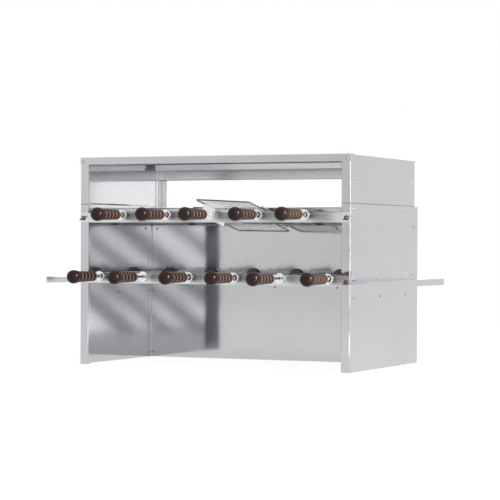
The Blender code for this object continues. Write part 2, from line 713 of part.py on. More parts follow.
def make_grid(name, offset, materials, centre):
    """One side of the basket as a lattice of square bars."""
    bm = bmesh.new()
    length = BASKET_REAR - BASKET_FRONT - GRID_WIRE
    width = 2 * BASKET_HALF_WIDTH - GRID_WIRE
    middle = (BASKET_REAR + BASKET_FRONT) / 2
    matrix = Matrix.Translation((0, middle, offset)) @ Matrix.Diagonal((width, length, 1, 1))
    bmesh.ops.create_grid(bm, x_segments=GRID_CELLS[0], y_segments=GRID_CELLS[1], size=0.5, matrix=matrix)
    obj = add_object(name, bm, materials["bright"], centre)
    bars = obj.modifiers.new("bars", 'WIREFRAME')
    bars.thickness = GRID_WIRE
    bars.use_boundary = True
    bars.use_replace = True
    bars.use_even_offset = True
    return obj


def make_basket(handle_front, materials, centre):
    centre.rotation_euler = (0.0, BASKET_TILT, 0.0)
    make_basket_frame(handle_front, materials, centre)
    make_grid("basket_lower_grid", -GRID_OFFSET, materials, centre)
    make_grid("basket_upper_grid", GRID_OFFSET, materials, centre)


# ---------------------------------------------------------------- drive

def make_socket(name, materials, centre):
    """Drive socket: disc with a square bore in front, journal, and a sprocket behind the wall."""
    bore_end = TIP_END_Y + BORE_PLAY
    half_bore = SOCKET_BORE / 2
    disc_end = SOCKET_FRONT_Y + SOCKET_DISC_THICKNESS
    sprocket_end = SPROCKET_Y + SPROCKET_WIDTH
    count = SOCKET_POINTS
    rings = [rectangle_ring(half_bore, half_bore, bore_end, count),
             rectangle_ring(half_bore, half_bore, SOCKET_FRONT_Y, count),
             circle_ring(SOCKET_DISC, SOCKET_FRONT_Y, count), circle_ring(SOCKET_DISC, disc_end, count),
             circle_ring(JOURNAL_RADIUS, disc_end, count), circle_ring(JOURNAL_RADIUS, SPROCKET_Y, count),
             toothed_ring(SPROCKET_TIP, SPROCKET_ROOT, SPROCKET_Y, count),
             toothed_ring(SPROCKET_TIP, SPROCKET_ROOT, sprocket_end, count)]
    return add_object(f"socket_{name}", loft(rings), materials["dark"], centre)


def make_bearing_plate(materials, parent):
    """Plate behind the rear walls with a plain bearing bore for each socket."""
    width, thickness, height = BEARING_PLATE
    start = REAR_WALL_Y + SHEET + GAP
    plate = box_mesh(((-width / 2, start, BEARING_PLATE_BOTTOM),
                      (width / 2, start + thickness, BEARING_PLATE_BOTTOM + height)))
    obj = add_object("bearing_plate", plate, materials["motor"], parent)
    bores = bmesh.new()
    for _, x, z, _ in skewer_places():
        ends = (start - CUT_MARGIN, start + thickness + CUT_MARGIN)
        merge(bores, loft([circle_ring(BEARING_BORE, y, SOCKET_POINTS) for y in ends], (x, z)))
    cut(obj, add_cutter("bearing_bores", bores, parent))
    return obj


def chain_outline(radius):
    """The loop that a chain takes around all sprockets, at a distance from their centres."""
    centres = [(x, z) for _, x, z, _ in skewer_places()] + [(MOTOR_X, MOTOR_Z)]
    points = []
    for x, z in centres:
        points += [(x + p.x, z + p.z) for p in circle_ring(radius, 0.0, CHAIN_ARC_POINTS)]
    return [points[i] for i in convex_hull_2d(points)]


def make_chain(materials, parent):
    """One roller chain around the eleven sockets and the motor, as a plain closed band."""
    inner = chain_outline(CHAIN_INNER)
    outer = chain_outline(CHAIN_INNER + CHAIN_THICKNESS)
    start_y, end_y = SPROCKET_Y, SPROCKET_Y + SPROCKET_WIDTH
    band = prism(outer, 'Y', start_y, end_y)
    obj = add_object("drive_chain", band, materials["dark"], parent)
    space = prism(inner, 'Y', start_y - CUT_MARGIN, end_y + CUT_MARGIN)
    cut(obj, add_cutter("chain_space", space, parent))
    return obj


def make_motor_sprocket(materials, centre):
    """Motor output shaft with its sprocket."""
    count = SOCKET_POINTS
    sprocket_end = SPROCKET_Y + SPROCKET_WIDTH
    shaft_end = MOTOR_FRONT_Y + MOTOR_SHAFT_REACH
    rings = [toothed_ring(SPROCKET_TIP, SPROCKET_ROOT, SPROCKET_Y, count),
             toothed_ring(SPROCKET_TIP, SPROCKET_ROOT, sprocket_end, count),
             circle_ring(MOTOR_SHAFT, sprocket_end, count), circle_ring(MOTOR_SHAFT, shaft_end, count)]
    return add_object("motor_sprocket", loft(rings), materials["dark"], centre)


def make_motor(materials, parent):
    """Gear motor on a bracket against the right side of the drive box."""
    width, depth, height = MOTOR_SIZE
    low = (MOTOR_X - width / 2, MOTOR_FRONT_Y, MOTOR_Z - height / 2)
    high = (MOTOR_X + width / 2, MOTOR_FRONT_Y + depth, MOTOR_Z + height / 2)
    obj = add_object("gear_motor", box_mesh((low, high)), materials["motor"], parent)
    plate_x = CLEAR_OF_FLANGES - BEND_RADIUS
    plate = box_mesh(((plate_x - MOTOR_PLATE_THICKNESS, MOTOR_FRONT_Y + MOTOR_PLATE_Y[0],
                       MOTOR_Z + MOTOR_PLATE_Z[0]),
                      (plate_x, MOTOR_FRONT_Y + MOTOR_PLATE_Y[1], MOTOR_Z + MOTOR_PLATE_Z[1])))
    join(obj, "motor_side_plate", plate, parent)
    web = box_mesh(((high[0] - WELD, MOTOR_FRONT_Y + MOTOR_WEB_Y[0], MOTOR_Z - MOTOR_WEB_HALF),
                    (plate_x - WELD, MOTOR_FRONT_Y + MOTOR_WEB_Y[1], MOTOR_Z + MOTOR_WEB_HALF)))
    join(obj, "motor_web", web, parent)
    ends = (MOTOR_FRONT_Y - CUT_MARGIN, MOTOR_FRONT_Y + MOTOR_SHAFT_REACH + CUT_MARGIN)
    bore = MOTOR_SHAFT + 2 * GAP
    shaft_hole = loft([circle_ring(bore, y, SOCKET_POINTS) for y in ends], (MOTOR_X, MOTOR_Z))
    cut(obj, add_cutter("motor_shaft_hole", shaft_hole, parent))
    return obj


# ---------------------------------------------------------------- power inlet and switch

def centred_box(x, z, size, y_low, y_high):
    return ((x - size[0] / 2, y_low, z - size[1] / 2), (x + size[0] / 2, y_high, z + size[1] / 2))


def make_power_inlet(materials, parent):
    """Appliance inlet with an opening for the rocker switch above its socket."""
    seat_y = LOWER_DEPTH - SHEET - GAP
    face_y = seat_y + GAP + INLET_FLANGE_THICKNESS
    flange = box_mesh(centred_box(INLET_X, INLET_Z, INLET_FLANGE, seat_y + GAP, face_y))
    obj = add_object("power_inlet", flange, materials["plastic"], parent)
    body = centred_box(INLET_X, INLET_Z, INLET_BODY, seat_y - INLET_DEPTH, seat_y + WELD)
    join(obj, "inlet_body", box_mesh(body), parent)
    mouth_y = face_y + CUT_MARGIN
    socket_z = INLET_Z - SWITCH_OFFSET
    floor_y = seat_y - SOCKET_CAVITY_DEPTH
    cavity = centred_box(INLET_X, socket_z, SOCKET_CAVITY, floor_y, mouth_y)
    well_z = INLET_Z + SWITCH_OFFSET
    well = centred_box(INLET_X, well_z, SWITCH_WELL, seat_y - SWITCH_WELL_DEPTH, mouth_y)
    cut(obj, add_cutter("inlet_spaces", box_mesh(cavity, well), parent))
    pins = [centred_box(INLET_X + dx, socket_z + dz, PIN_SIZE, floor_y - WELD, seat_y - PIN_TIP_DEPTH)
            for dx, dz in PIN_PLACES]
    join(obj, "inlet_pins", box_mesh(*pins), parent)
    return obj


def make_rocker(materials, parent):
    """Rocker of the power switch; it rests with its lower half pressed in."""
    seat_y = LOWER_DEPTH - SHEET - GAP
    pivot = bpy.data.objects.new("switch_pivot", None)
    pivot.location = (INLET_X, seat_y - ROCKER_PIVOT_DEPTH, INLET_Z + SWITCH_OFFSET)
    pivot.rotation_euler = (-ROCKER_TILT, 0.0, 0.0)
    pivot.parent = parent
    bpy.context.collection.objects.link(pivot)
    half_height, half_depth = ROCKER[1] / 2, ROCKER_DEPTH / 2
    end_y = half_depth + ROCKER_RISE
    outline = [(-half_depth, -half_height), (end_y, -half_height), (half_depth - ROCKER_DIP, 0.0),
               (end_y, half_height), (-half_depth, half_height)]
    bm = prism(outline, 'X', -ROCKER[0] / 2, ROCKER[0] / 2)
    return add_object("power_switch", bm, materials["plastic"], pivot)


# ---------------------------------------------------------------- assembly

def main():
    for obj in list(bpy.data.objects):
        bpy.data.objects.remove(obj, do_unlink=True)
    cabinet = bpy.data.objects.new("cabinet_origin", None)
    cabinet.location = (0.0, ORIGIN_SHIFT, 0.0)
    bpy.context.collection.objects.link(cabinet)
    materials = make_materials()
    wing_holes = make_wing_bolts(materials, cabinet)
    make_body(materials, cabinet, wing_holes)
    for name, x, z, handle_front in skewer_places():
        centre = spin_centre(name, x, z, cabinet)
        make_handle(name, handle_front, materials, centre)
        make_socket(name, materials, centre)
        if name == "basket":
            make_basket(handle_front, materials, centre)
        else:
            make_skewer(name, handle_front, materials, centre)
    make_bearing_plate(materials, cabinet)
    make_chain(materials, cabinet)
    make_motor_sprocket(materials, spin_centre("motor", MOTOR_X, MOTOR_Z, cabinet))
    make_motor(materials, cabinet)
    make_power_inlet(materials, cabinet)
    make_rocker(materials, cabinet)


main()
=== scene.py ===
"""Looks of the rotisserie oven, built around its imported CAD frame.

Metres, +Z up, the open front faces -Y, in the same frame as the CAD.  What turns with a skewer is
drawn around the skewer's axis, with y = 0 at the front flanges of the cabinet, and then put in place.
A handle is drawn from its own front end.
"""

import math

import bmesh
import bpy
from mathutils import Matrix, Vector


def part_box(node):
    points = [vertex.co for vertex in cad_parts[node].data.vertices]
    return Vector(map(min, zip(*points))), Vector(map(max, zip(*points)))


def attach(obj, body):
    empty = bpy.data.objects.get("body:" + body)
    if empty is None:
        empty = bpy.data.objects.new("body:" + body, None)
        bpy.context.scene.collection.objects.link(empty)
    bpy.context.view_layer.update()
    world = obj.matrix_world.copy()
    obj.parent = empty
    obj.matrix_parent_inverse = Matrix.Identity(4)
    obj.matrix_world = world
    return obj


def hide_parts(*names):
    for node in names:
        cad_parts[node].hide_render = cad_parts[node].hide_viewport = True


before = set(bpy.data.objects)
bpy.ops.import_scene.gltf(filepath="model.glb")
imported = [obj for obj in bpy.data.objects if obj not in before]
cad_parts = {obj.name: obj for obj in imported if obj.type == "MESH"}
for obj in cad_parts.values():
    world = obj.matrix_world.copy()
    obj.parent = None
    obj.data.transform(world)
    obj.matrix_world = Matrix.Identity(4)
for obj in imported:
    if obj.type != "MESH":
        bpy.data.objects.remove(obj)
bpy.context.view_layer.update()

# ---------------------------------------------------------------- sizes, from the frame or in metres

FRONT_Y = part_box("left_side_panel")[0].y          # face of the front flanges
OUTER_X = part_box("right_side_panel")[1].x         # outside of the side panels
SEAM_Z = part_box("left_side_panel")[1].z           # top of the lower module
LOWER_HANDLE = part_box("handle_lower_1")

# Handles
HANDLE_LENGTH = LOWER_HANDLE[1].y - LOWER_HANDLE[0].y
HEAD_RADIUS = (LOWER_HANDLE[1].x - LOWER_HANDLE[0].x) / 2
HEAD_DOME = 0.017                                 # length of the round front
HEAD_END = 0.034                                  # where the ridges start
DOME_POWERS = (0.9, 0.85)                         # under 1 is blunter than a sphere: along, around
SHOULDER_POWER = 0.7
RIDGE_COUNT = 5
RIDGE_PITCH = 0.0208
RIDGE_DEPTH = 0.0032
RIDGE_POWER = 0.6                                 # under 1 is a broad crest over a narrow groove
RIDGES_END = HEAD_END + RIDGE_COUNT * RIDGE_PITCH
GRIP_RADIUS = 0.0170
TAIL_RADIUS = 0.0141
TAIL_TAPER = 0.0012
TANG_RADIUS = 0.0032
ROUND = 40                                        # points around a turned piece
SHARP_ANGLE = math.radians(38)                    # edges above it stay sharp
BEVEL_ANGLE = math.radians(35)                    # edges above it are softened
CURVE_STEPS = 9                                   # points along one rounded stretch

# Skewers, about their axis
NECK_RADIUS = 0.003
NECK_IN_HANDLE = 0.006                            # how far the neck reaches into the handle
DISC_THICKNESS = 0.002
DISC_HUB = 0.0055
DISCS = ((-0.0065, 0.0150), (0.0035, 0.0130))     # front face and radius
BLADE = (0.0015, 0.012)                           # half thickness, half height
BLADE_Y = (0.014, 0.034, 0.385, 0.400)            # neck ends, blade starts, blade ends, drive tip starts
TIP_HALF = 0.004
TIP_END_Y = 0.462
TIP_CHAMFER = 0.006
TIP_END_SHARE = 0.4                               # of the tip's size, left at its end
OVAL, SOFT_SQUARE, SQUARE = 2, 6, 8               # powers of a squared ring

# Drive sockets
SOCKET_DISC = (0.0215, 0.440, 0.447)              # radius, front face, rear face
SOCKET_BORE = 0.0087
SOCKET_BORE_END = TIP_END_Y + 0.003
SPROCKET = (0.0190, 0.0168, 0.4695, 0.4745)       # tip, root, front face, rear face
JOURNAL_RADIUS = 0.011
TEETH = 14
POINTS_PER_TOOTH = 6
TOOTH_POWER = 1.6                                 # over 1 makes round gullets and pointed teeth

# Basket, about the skewer's axis before it is tilted
BASKET_TILT = math.radians(24.5)
BASKET_HALF_WIDTH = 0.082
BASKET_Y = (0.0345, 0.410)                        # front and rear of the grids
BASKET_TIP_START = 0.425
GRID_OFFSET = 0.012                               # of either grid from the axis
BORDER_WIRE = 0.0019                              # radius, as for the next two
MESH_WIRE = 0.0006
HOOK_WIRE = 0.0011                                # ends of the cross wires, bent over the border
HOOK_START = 0.0045                               # inwards from the middle of the border wire
HOOK_TIP = 0.0016                                 # outwards from it
BORDER_CORNER = 0.010
BORDER_STEPS = 6                                  # around one corner
CROSS_PITCH = 0.0125
LONG_PITCH = 0.0136
BRACKET = (0.040, 0.0175)                         # half width, half height
BRACKET_SHEET = 0.0015
BRACKET_TAB = 0.015
BRACKET_BEND = 0.003
BEND_STEPS = 5
BRACKET_FRONT_Y = 0.018
BRACKET_REAR_Y = 0.4135
RIVET_INSET = (0.009, 0.007)                      # from the bracket's side and from its top or bottom
RIVET_PROFILE = ((0.0004, 0.0030), (-0.0004, 0.0030), (-0.0010, 0.0022), (-0.0013, 0.0010))  # y, radius

# Seam between the modules; the dark strip in its gap is painted shade
SEAM_OPENING = 0.0015
SHADE_STRIP_PLAY = 0.0001
SHADE_STRIP_SETBACK = 0.0003
SHADE_STRIP_THICKNESS = 0.0010
FRONT_FLANGE = 0.0265

# Wing bolts
WING_SEAT = 0.0021                                # from the front flanges to the washer's rear
WING_TURN = math.radians(-40)
WING_HALF_SHEET = 0.0011
WING_EDGE = 0.0004

# Screws; the side panels have three columns of them, measured from the front flanges
SCREW_RADIUS = 0.0034
SCREW_HEIGHT = 0.0017
SCREW_RIM = 0.0003
SCREW_SINK = 0.0002                               # how far the head's underside lies in the sheet
SCREW_CROSS = (0.58 * SCREW_RADIUS, 0.00045)      # half length and half width of the recess
SCREW_CROSS_Y = (-0.003, -0.0009)
SCREW_SPIN = 1.3                                  # from one screw to the next, in radians
COLUMNS = (0.027, 0.235, 0.441)
FOOT_SCREW_Z = 0.015
MIDDLE_SCREW_Z = 0.208
SHELF_SCREW_Z = 0.272
HEADER_SCREW = (0.418, 0.598)                     # x on either side, z
REAR_WALL_Y = FRONT_Y + 0.450

# Camera: where it stands, how it looks down on the front, and its lens
CAMERA_PLACE = (2.468, -5.242, 0.363)
CAMERA_YAW = math.radians(24.82)
CAMERA_PITCH = math.radians(-0.23)
CAMERA_ROLL = math.radians(0.26)
CAMERA_LENS = 141.4
CAMERA_SENSOR = 36.0

# Floor
FLOOR_HALF = 60.0
FLOOR_Z = -0.0005
FLOOR_GLOW = 0.96

# Grey card before the oven
GREY_CARD_Y = -4.0
GREY_CARD_X = (-2.6, -0.8)
GREY_CARD_Z = (0.0, 1.4)

# Dark bars of the studio's rig, which the corner of the oven mirrors
FLAG_DISTANCE = 4.5                               # in front of the camera
FLAG_SLOPE = math.atan(0.8)
FLAG_LENGTH = 0.85
FLAG_OFFSET = -0.21                               # to the right of the camera's axis
FLAGS = ((0.175, 0.045), (-0.005, 0.070), (-0.155, 0.050),
         (-0.275, 0.050), (-0.400, 0.065))        # height above the camera's axis, width

# Softboxes: place, target, size and radiance
SOFTBOXES = {
    "key_strip": ((3.6, -0.9, 1.25), (0.0, 0.0, 1.25), (0.9, 2.4), 20.0),
    "handle_lamp": ((3.3, -0.7, 1.7), (0.0, -0.3, 0.4), (0.6, 0.6), 150.0),
    "fill_softbox": ((3.0, -6.6, 0.9), (0.0, 0.0, 0.3), (2.4, 2.2), 1.15),
    "floor_glow": ((1.5, -2.5, 0.002), (1.5, -2.5, 2.0), (1.9, 4.0), 1.5),
    "left_glow": ((-1.7, 2.3, 0.25), (-0.43, 0.0, 0.25), (1.5, 0.8), 0.9),
    "rear_glow": ((-0.2, 2.6, 0.1), (-0.2, 0.0, 0.1), (2.6, 1.1), 0.45),
}


# ---------------------------------------------------------------- node helpers

def add_node(tree, kind, **settings):
    node = tree.nodes.new(kind)
    for name, value in settings.items():
        setattr(node, name, value)
    return node


def join_nodes(tree, source, target):
    tree.links.new(source, target)


def plain_material(name, colour, roughness, metallic):
    material = bpy.data.materials.new(name)
    material.use_nodes = True
    shader = material.node_tree.nodes["Principled BSDF"]
    shader.inputs["Base Color"].default_value = (*colour, 1.0)
    shader.inputs["Roughness"].default_value = roughness
    shader.inputs["Metallic"].default_value = metallic
    material.diffuse_color = (*colour, 1.0)
    return material, material.node_tree, shader


def noise(tree, scale, detail=3.0, stretch=(1.0, 1.0, 1.0), roughness=0.5):
    """Noise over the object's own coordinates; a stretch under 1 draws it out along that axis."""
    place = add_node(tree, "ShaderNodeTexCoord")
    mapping = add_node(tree, "ShaderNodeMapping")
    mapping.inputs["Scale"].default_value = stretch
    texture = add_node(tree, "ShaderNodeTexNoise")
    texture.inputs["Scale"].default_value = scale
    texture.inputs["Detail"].default_value = detail
    texture.inputs["Roughness"].default_value = roughness
    join_nodes(tree, place.outputs["Object"], mapping.inputs["Vector"])
    join_nodes(tree, mapping.outputs["Vector"], texture.inputs["Vector"])
    return texture.outputs["Fac"]


def to_range(tree, value, low, high, start=0.3, end=0.7):
    node = add_node(tree, "ShaderNodeMapRange")
    for name, number in (("From Min", start), ("From Max", end), ("To Min", low), ("To Max", high)):
        node.inputs[name].default_value = number
    join_nodes(tree, value, node.inputs["Value"])
    return node.outputs["Result"]


def ramp(tree, value, stops):
    """Colour ramp through (position, colour) stops."""
    node = add_node(tree, "ShaderNodeValToRGB")
    elements = node.color_ramp.elements
    while len(elements) < len(stops):
        elements.new(0.5)
    for element, (position, colour) in zip(elements, stops):
        element.position = position
        element.color = (*colour, 1.0)
    join_nodes(tree, value, node.inputs["Fac"])
    return node.outputs["Color"]


def bump(tree, height, distance, strength=1.0, below=None):
    node = add_node(tree, "ShaderNodeBump")
    node.inputs["Strength"].default_value = strength
    node.inputs["Distance"].default_value = distance
    join_nodes(tree, height, node.inputs["Height"])
    if below:
        join_nodes(tree, below, node.inputs["Normal"])
    return node.outputs["Normal"]


def shade(colour, factor):
    return tuple(channel * factor for channel in colour)


def grey(level):
    return (level, level, level)


def join_shader(tree, shader, tone, roughness, normal):
    for value, socket in ((tone, "Base Color"), (roughness, "Roughness"), (normal, "Normal")):
        join_nodes(tree, value, shader.inputs[socket])


# ---------------------------------------------------------------- materials

def brushed_steel(name, colour, roughness, grain, wave=0.0004, tooth=0.35):
    """Sheet steel: grain streaks, a faint cloudiness and slightly uneven flatness."""
    material, tree, shader = plain_material(name, colour, roughness, 1.0)
    streaks = noise(tree, 900.0, 2.0, grain)
    clouds = noise(tree, 7.0, 4.0)
    dents = noise(tree, 2.6, 1.0)
    tone = ramp(tree, clouds, ((0.25, shade(colour, 0.965)), (0.75, shade(colour, 1.03))))
    flatness = bump(tree, dents, wave)
    join_shader(tree, shader, tone, to_range(tree, streaks, roughness * 0.85, roughness * 1.2),
                bump(tree, streaks, 0.00001, tooth, flatness))
    return material


def polished_steel(name, colour, roughness):
    """Bright steel with smears and fine scratches along the axis."""
    material, tree, shader = plain_material(name, colour, roughness, 1.0)
    smears = noise(tree, 60.0, 4.0, (1.0, 0.25, 1.0))
    scratches = noise(tree, 1400.0, 2.0, (1.0, 0.02, 1.0))
    tone = ramp(tree, smears, ((0.3, shade(colour, 0.90)), (0.7, shade(colour, 1.04))))
    join_shader(tree, shader, tone, to_range(tree, smears, roughness * 0.8, roughness * 1.4),
                bump(tree, scratches, 0.00001, 0.5))
    return material


def dark_steel():
    """Oiled, heat-darkened steel; on the necks before the spools its darkness is painted shade."""
    colour = (0.085, 0.085, 0.090)
    material, tree, shader = plain_material("oiled_dark_steel_and_neck_shade", colour, 0.42, 0.9)
    grime = noise(tree, 220.0, 6.0)
    tone = ramp(tree, grime, ((0.3, shade(colour, 0.6)), (0.6, colour), (0.8, shade(colour, 2.2))))
    join_shader(tree, shader, tone, to_range(tree, grime, 0.32, 0.55), bump(tree, grime, 0.0001, 0.5))
    return material


def zinc(name, colour):
    """Zinc plating with duller and brighter patches."""
    material, tree, shader = plain_material(name, colour, 0.30, 1.0)
    patches = noise(tree, 350.0, 3.0)
    tone = ramp(tree, patches, ((0.3, shade(colour, 0.8)), (0.7, shade(colour, 1.12))))
    join_shader(tree, shader, tone, to_range(tree, patches, 0.24, 0.40), bump(tree, patches, 0.00004, 0.4))
    return material


def cast_aluminium():
    """Cast metal with a grainy skin."""
    colour = (0.42, 0.43, 0.44)
    material, tree, shader = plain_material("cast_aluminium", colour, 0.5, 1.0)
    grains = noise(tree, 700.0, 3.0)
    tone = ramp(tree, grains, ((0.3, shade(colour, 0.85)), (0.7, shade(colour, 1.1))))
    join_shader(tree, shader, tone, to_range(tree, grains, 0.42, 0.58), bump(tree, grains, 0.0002, 0.5))
    return material


def black_plastic(name):
    """Black plastic or rubber with a fine texture and a little dust; it also colours the strip of painted
    shade in the seam.
    """
    colour = (0.018, 0.018, 0.020)
    material, tree, shader = plain_material(name, colour, 0.45, 0.0)
    texture = noise(tree, 1500.0, 2.0)
    dust = noise(tree, 90.0, 5.0)
    tone = ramp(tree, dust, ((0.35, colour), (0.8, shade(colour, 2.0))))
    join_shader(tree, shader, tone, to_range(tree, dust, 0.40, 0.52), bump(tree, texture, 0.00008, 0.5))
    return material


def turned_wood():
    """Varnished wood: dark head, reddish crests, grain along the axis; painted shade darkens the grooves and
    a painted highlight lightens the middle of each crest.
    """
    material, tree, shader = plain_material("turned_varnished_wood", (0.10, 0.04, 0.025), 0.3, 0.0)
    head_roughness, groove_roughness, crest_roughness = 0.26, 0.80, 0.22
    grain_share = 0.50
    fade_start, fade_end = HEAD_END - 0.012, HEAD_END - 0.006
    place = add_node(tree, "ShaderNodeTexCoord")
    split = add_node(tree, "ShaderNodeSeparateXYZ")
    join_nodes(tree, place.outputs["Object"], split.inputs["Vector"])
    along = split.outputs["Y"]
    wave = add_node(tree, "ShaderNodeMath", operation='COSINE')
    turns = to_range(tree, along, 0.0, RIDGE_COUNT * math.tau, HEAD_END, RIDGES_END)
    join_nodes(tree, turns, wave.inputs[0])
    # 1 in the middle of a crest, 0 in a groove: the mask of the painted groove shade and crest highlight
    crest = to_range(tree, wave.outputs["Value"], 1.0, 0.0, -0.9, 0.75)
    past_head = to_range(tree, along, 0.0, 1.0, fade_start, fade_end)
    grain = noise(tree, 420.0, 5.0, (1.0, 0.06, 1.0), 0.65)
    grain_and_painted_ridge_shading = add_node(tree, "ShaderNodeMath", operation='MULTIPLY_ADD')
    join_nodes(tree, grain, grain_and_painted_ridge_shading.inputs[0])
    grain_and_painted_ridge_shading.inputs[1].default_value = grain_share
    join_nodes(tree, crest, grain_and_painted_ridge_shading.inputs[2])
    # the darkest stops are painted shade in the grooves, the lightest stop a painted highlight on the crests
    stops = ((0.25, (0.012, 0.006, 0.006)), (0.60, (0.014, 0.007, 0.006)),
             (0.80, (0.075, 0.038, 0.024)), (1.0, (0.21, 0.120, 0.080)))
    tone = ramp(tree, to_range(tree, grain_and_painted_ridge_shading.outputs["Value"], 0.0, 1.0, 0.0, 1.4), stops)
    ridged = to_range(tree, wave.outputs["Value"], crest_roughness, groove_roughness, -0.4, 0.7)
    roughness = add_node(tree, "ShaderNodeMix", data_type='FLOAT')
    roughness.inputs[2].default_value = head_roughness
    join_nodes(tree, past_head, roughness.inputs[0])
    join_nodes(tree, ridged, roughness.inputs[3])
    join_shader(tree, shader, tone, roughness.outputs[0], bump(tree, grain, 0.00020, 0.40))
    shader.inputs["Specular IOR Level"].default_value = 0.20
    shader.inputs["Specular Tint"].default_value = (1.0, 0.88, 0.80, 1.0)
    return material


def make_materials():
    # directions of the grain: every level one, along X, and along Y
    level, sideways, backwards = (0.012, 0.012, 1.0), (0.012, 1.0, 1.0), (1.0, 0.012, 1.0)
    panel, frame_sheet, polish = (0.525, 0.530, 0.542), (0.66, 0.665, 0.675), (0.80, 0.805, 0.815)
    return {
        "upright": brushed_steel("brushed_sheet_upright", panel, 0.08, level, tooth=0.20),
        # painted light: the baffle's steel is drawn far lighter than the panels' so that it looks lit
        "matt": brushed_steel("painted_light_baffle_sheet", (0.90, 0.905, 0.915), 0.34, sideways),
        "satin": brushed_steel("satin_frame_sheet", frame_sheet, 0.20, level),
        "roof": brushed_steel("brushed_sheet_level", (0.50, 0.505, 0.515), 0.14, backwards, tooth=0.08),
        "rail": brushed_steel("bright_rail_steel", frame_sheet, 0.24, sideways, wave=0.0002),
        "bright": polished_steel("polished_skewer_steel", polish, 0.16),
        # the blades get a darker copy of the polished steel
        "blade": polished_steel("darker_blade_steel", (0.46, 0.465, 0.47), 0.24),
        "wire": polished_steel("basket_wire_steel", polish, 0.20),
        "border": polished_steel("basket_border_steel", (0.24, 0.243, 0.25), 0.26),
        # painted shade: the black strip in the seam's gap
        "seam_shade": black_plastic("seam_seal_rubber"),
        "dark": dark_steel(),
        "zinc": zinc("dull_zinc_plating", (0.30, 0.305, 0.315)),
        # the wing bolts get a darker copy of the zinc plating
        "bolt": zinc("darker_zinc_plating", (0.10, 0.102, 0.106)),
        "cast": cast_aluminium(),
        "plastic": black_plastic("moulded_black_plastic"),
        "wood": turned_wood(),
    }


# ---------------------------------------------------------------- shape helpers

def add_piece(name, bm, material, body, place=(0.0, 0.0, 0.0), tilt=0.0, mesh=None):
    """Turns a bmesh, or a mesh that another piece has, into a piece that rides on a CAD body."""
    if mesh is None:
        bmesh.ops.recalc_face_normals(bm, faces=bm.faces)
        mesh = bpy.data.meshes.new(name)
        bm.to_mesh(mesh)
        bm.free()
        mesh.materials.append(material)
        mesh.shade_smooth()
        mesh.set_sharp_from_angle(angle=SHARP_ANGLE)
    obj = bpy.data.objects.new(name, mesh)
    obj.location = place
    obj.rotation_euler = (0.0, tilt, 0.0)
    bpy.context.collection.objects.link(obj)
    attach(obj, body)
    return obj


def evaluated_mesh(obj):
    """New mesh of an object as its modifiers or its curve shape it."""
    return bpy.data.meshes.new_from_object(obj.evaluated_get(bpy.context.evaluated_depsgraph_get()))


def soften(obj, width):
    modifier = obj.modifiers.new("softened_edges", 'BEVEL')
    modifier.width = width
    modifier.segments = 2
    modifier.limit_method = 'ANGLE'
    modifier.angle_limit = BEVEL_ANGLE


def round_ring(radius, y, count=ROUND):
    step = math.tau / count
    return [Vector((radius * math.cos(i * step), y, radius * math.sin(i * step))) for i in range(count)]


def squared_ring(half_x, half_z, y, power, count=ROUND):
    """Cross-section between an ellipse (OVAL) and a rectangle with soft corners (SQUARE)."""
    ring = []
    for point in round_ring(1.0, y, count):
        x = math.copysign(abs(point.x) ** (2 / power), point.x) * half_x
        z = math.copysign(abs(point.z) ** (2 / power), point.z) * half_z
        ring.append(Vector((x, y, z)))
    return ring


def skin(rings, bm=None):
    """Skins cross-sections one after another and caps both ends; adds to bm if one is given."""
    bm = bm or bmesh.new()
    rows = [[bm.verts.new(point) for point in ring] for ring in rings]
    bm.faces.new(rows[0])
    bm.faces.new(rows[-1])
    for row, following in zip(rows, rows[1:]):
        for i in range(len(row)):
            bm.faces.new((row[i - 1], row[i], following[i], following[i - 1]))
    return bm


def turn_profile(profile, bm=None, count=ROUND):
    """Solid of revolution about Y from (y, radius) pairs."""
    return skin([round_ring(radius, y, count) for y, radius in profile], bm)


def add_box(bm, low, high):
    size = Vector(high) - Vector(low)
    matrix = Matrix.Translation((Vector(high) + Vector(low)) / 2) @ Matrix.Diagonal((*size, 1.0))
    bmesh.ops.create_cube(bm, size=1.0, matrix=matrix)


def disc_profile(front, radius, thickness, hub):
    """Round plate with rolled edges and a slightly raised hub."""
    rise, dish, roll = 0.0008, 0.0002, thickness * 0.35
    back, core, flat = front + thickness, hub * 0.9, radius * 0.72
    return [(front - rise, core), (front - rise, hub), (front, hub + rise), (front, flat),
            (front + dish, radius - roll), (front + roll, radius), (back - roll, radius),
            (back, radius - roll), (back, core)]


# ---------------------------------------------------------------- skewer places

def skewer_places():
    """Name, x and z of every turning set, from the middles of its drive socket's box."""
    places = []
    for node in sorted(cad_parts):
        if node.startswith("socket_"):
            low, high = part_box(node)
            places.append((node.removeprefix("socket_"), (low.x + high.x) / 2, (low.z + high.z) / 2))
    return places


